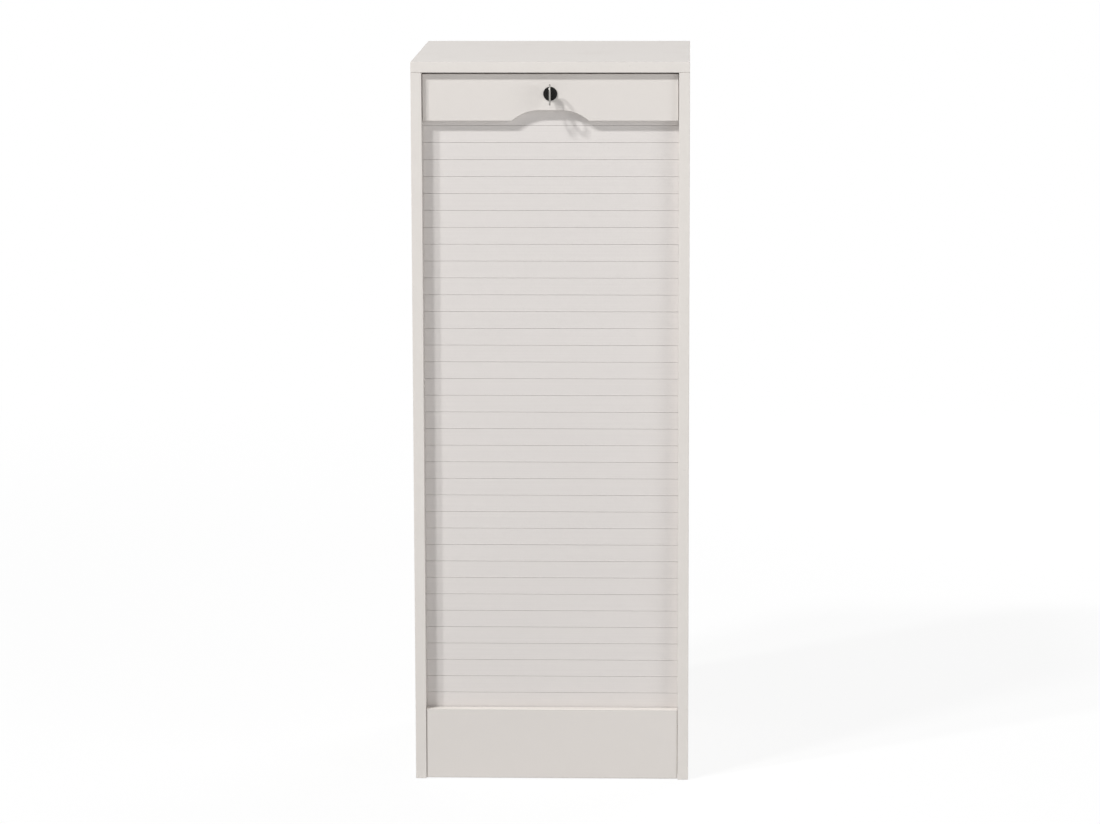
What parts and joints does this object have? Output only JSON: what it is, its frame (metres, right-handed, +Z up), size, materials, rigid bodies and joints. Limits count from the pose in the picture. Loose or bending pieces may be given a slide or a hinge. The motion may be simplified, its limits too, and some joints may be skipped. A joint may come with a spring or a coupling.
{
  "type": "tambour door cabinet",
  "caption": "Tall narrow cabinet with a lockable tambour door: a slatted curtain with a lead rail slides down behind the plinth and up at the back, in front of shelves.",
  "frame": {"origin": "on the floor, under the middle of the box that the closed cabinet and its inserted key take up", "axes": "+X to the right as seen from the front, +Y into the cabinet (its front faces -Y), +Z up"},
  "size_m": [0.41, 0.442, 1.08],
  "materials": {
    "laminate": "melamine-faced board, warm light grey, fine satin texture",
    "hardboard": "lacquered thin fibreboard, warm light grey",
    "slat": "extruded plastic, warm light grey, satin",
    "beech": "bare beech with fluted grain",
    "zinc": "zinc plated, dull",
    "nickel": "nickel plated, bright",
    "black_lock": "black, satin gloss"
  },
  "bodies": {
    "cabinet": {"side_panel_left": "laminate", "side_panel_right": "laminate", "top_panel": "laminate", "bottom_panel": "laminate", "base_board": "laminate", "middle_shelf": "laminate", "lower_shelf": "laminate", "upper_shelf": "laminate", "plinth_board": "laminate", "rear_stretcher": "laminate", "inner_back_panel": "hardboard", "outer_back_panel": "hardboard", "cam_housing_1": "zinc", "cam_housing_2": "zinc", "cam_housing_3": "zinc", "cam_housing_4": "zinc", "cam_bolt_1": "zinc", "cam_bolt_2": "zinc", "cam_bolt_3": "zinc", "cam_bolt_4": "zinc", "shelf_pin_1": "zinc", "shelf_pin_2": "zinc", "shelf_pin_3": "zinc", "shelf_pin_4": "zinc", "shelf_pin_5": "zinc", "shelf_pin_6": "zinc", "shelf_pin_7": "zinc", "shelf_pin_8": "zinc", "strike_bracket": "zinc", "strike_screw_1": "zinc", "strike_screw_2": "zinc", "dowel_1": "beech", "dowel_2": "beech", "dowel_3": "beech", "dowel_4": "beech", "dowel_5": "beech", "dowel_6": "beech"},
    "curtain": {"lead_rail": "laminate", "rail_slats": "slat", "rail_screw_1": "zinc", "rail_screw_2": "zinc", "lock_housing": "black_lock", "lock_nut": "zinc", "curtain_section_01": "slat", "curtain_section_02": "slat", "curtain_section_03": "slat", "curtain_section_04": "slat", "curtain_section_05": "slat", "curtain_section_06": "slat", "curtain_section_07": "slat", "curtain_section_08": "slat", "curtain_section_09": "slat", "curtain_section_10": "slat", "curtain_section_11": "slat", "curtain_section_12": "slat"},
    "lock_cylinder": {"lock_plug": "black_lock", "lock_cam": "zinc", "cam_screw": "zinc"},
    "key": {"door_key": "nickel"}
  },
  "joints": [
    {"name": "curtain_slide", "type": "slide", "parent": "cabinet", "child": "curtain", "axis": [0, 0, -1], "range_m": [0, 0.885], "deforming": ["curtain_section_01", "curtain_section_02", "curtain_section_03", "curtain_section_04", "curtain_section_05", "curtain_section_06", "curtain_section_07", "curtain_section_08", "curtain_section_09", "curtain_section_10", "curtain_section_11", "curtain_section_12"]},
    {"name": "lock_turn", "type": "hinge", "parent": "curtain", "child": "lock_cylinder", "pos_m": [0, -0.1928, 1.0326], "axis": [0, 1, 0], "range_deg": [0, 90]},
    {"name": "key_pull", "type": "slide", "parent": "lock_cylinder", "child": "key", "axis": [0, -1, 0], "range_m": [0, 0.025]}
  ]
}
